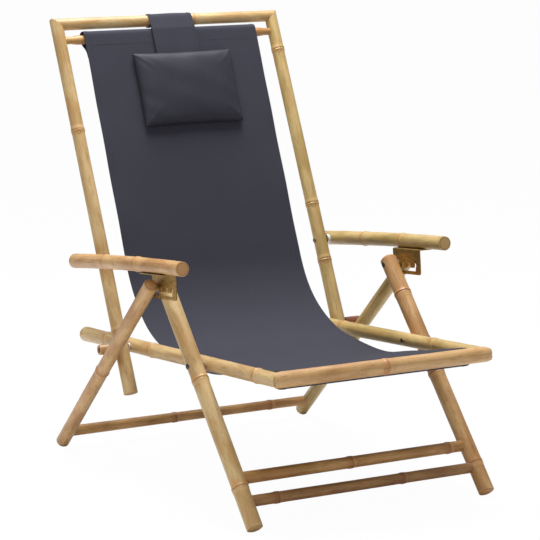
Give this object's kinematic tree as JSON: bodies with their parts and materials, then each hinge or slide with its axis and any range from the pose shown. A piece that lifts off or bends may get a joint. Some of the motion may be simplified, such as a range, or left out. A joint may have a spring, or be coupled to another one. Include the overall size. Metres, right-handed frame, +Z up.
{
  "type": "bamboo folding recliner",
  "caption": "Folding bamboo deck chair with a canvas sling seat, reclining back, notched armrest latches, crossed folding legs and a strapped head pillow.",
  "frame": {"origin": "centre of the footprint box on the floor", "axes": "+Z up, the chair faces -Y, +X is on the right seen from the front"},
  "size_m": [0.6048, 0.9077, 0.8877],
  "materials": {
    "bamboo": "clear satin varnish over straw-coloured bamboo",
    "bamboo_olive": "clear satin varnish over bamboo with an olive tint",
    "bamboo_brown": "clear satin varnish over browner bamboo",
    "bamboo_stub": "glossy reddish-brown bamboo",
    "canvas": "plain-woven slate-grey canvas",
    "pillow_cloth": "slate-grey canvas over soft filling",
    "hook_tape": "hook-and-loop tape",
    "zinc_yellow": "yellow-passivated zinc plating on steel",
    "bolt_steel": "dark zinc-plated steel",
    "washer_steel": "bright zinc plating",
    "washer_dark": "dark steel",
    "nylon": "natural nylon"
  },
  "bodies": {
    "front_frame": {"front_leg_left": "bamboo", "front_leg_right": "bamboo", "upper_front_stretcher": "bamboo_brown", "lower_front_stretcher": "bamboo_brown", "seat_pivot_bolts": "bolt_steel", "seat_pivot_nuts": "bolt_steel", "leg_pivot_bolts": "bolt_steel", "leg_washers_front": "washer_steel"},
    "seat": {"seat_rail_left": "bamboo", "seat_rail_right": "bamboo_olive", "front_rail": "bamboo", "front_sling_rod": "bamboo_brown", "seat_pivot_washers": "washer_steel"},
    "back_pivots": {"back_pivot_bolts": "bolt_steel", "back_pivot_nuts": "bolt_steel", "back_pivot_stubs": "bamboo_stub", "stub_washers": "washer_dark", "back_washers_inner": "washer_steel", "back_washers_outer": "nylon", "sling": "canvas"},
    "back": {"back_pole_left": "bamboo", "back_pole_right": "bamboo_olive", "top_rail": "bamboo", "rear_sling_rod": "bamboo_brown", "strap": "canvas", "strap_pad": "hook_tape", "pillow": "pillow_cloth"},
    "arm_pivots": {"arm_pivot_bolts": "bolt_steel", "arm_washers_inner": "washer_steel", "arm_spacers": "nylon", "arm_washers_outer": "washer_steel"},
    "armrest_left": {"armrest_left": "bamboo", "bracket_left": "zinc_yellow", "bracket_screws_left": "bolt_steel"},
    "armrest_right": {"armrest_right": "bamboo", "bracket_right": "zinc_yellow", "bracket_screws_right": "bolt_steel"},
    "rear_legs": {"rear_leg_left": "bamboo", "rear_leg_right": "bamboo_olive", "rear_stretcher": "bamboo_brown", "rear_leg_pins": "bolt_steel", "leg_washers_rear": "washer_steel"}
  },
  "joints": [
    {"name": "seat_fold", "type": "hinge", "parent": "front_frame", "child": "seat", "pos_m": [0, -0.1742, 0.268], "axis": [1, 0, 0], "range_deg": [0, 38]},
    {"name": "legs_fold", "type": "hinge", "parent": "front_frame", "child": "rear_legs", "pos_m": [0, -0.0552, 0.4], "axis": [1, 0, 0], "range_deg": [-84.1, 0]},
    {"name": "back_fold", "type": "hinge", "parent": "seat", "child": "back_pivots", "pos_m": [0, 0.1528, 0.2455], "axis": [1, 0, 0], "range_deg": [-55.6, 0], "deforming": ["sling"]},
    {"name": "back_recline", "type": "hinge", "parent": "back_pivots", "child": "back", "pos_m": [0, 0.1528, 0.2455], "axis": [1, 0, 0], "range_deg": [-25.75, 0], "deforming": ["sling"]},
    {"name": "arms_fold", "type": "hinge", "parent": "back", "child": "arm_pivots", "pos_m": [0, 0.2288, 0.4115], "axis": [1, 0, 0], "range_deg": [0, 46.6]},
    {"name": "arm_left_level", "type": "hinge", "parent": "arm_pivots", "child": "armrest_left", "pos_m": [0, 0.2288, 0.4115], "axis": [1, 0, 0], "range_deg": [0, 16.1]},
    {"name": "arm_right_level", "type": "hinge", "parent": "arm_pivots", "child": "armrest_right", "pos_m": [0, 0.2288, 0.4115], "axis": [1, 0, 0], "range_deg": [0, 16.1]}
  ],
  "couplings": [
    {"joint": "legs_fold", "follows": "seat_fold", "ratio": -2.2105},
    {"joint": "back_fold", "follows": "seat_fold", "ratio": -1.4588},
    {"joint": "arms_fold", "follows": "seat_fold", "ratio": 1.2237},
    {"joint": "arm_left_level", "follows": "back_recline", "ratio": -0.6214},
    {"joint": "arm_right_level", "follows": "back_recline", "ratio": -0.6214}
  ]
}
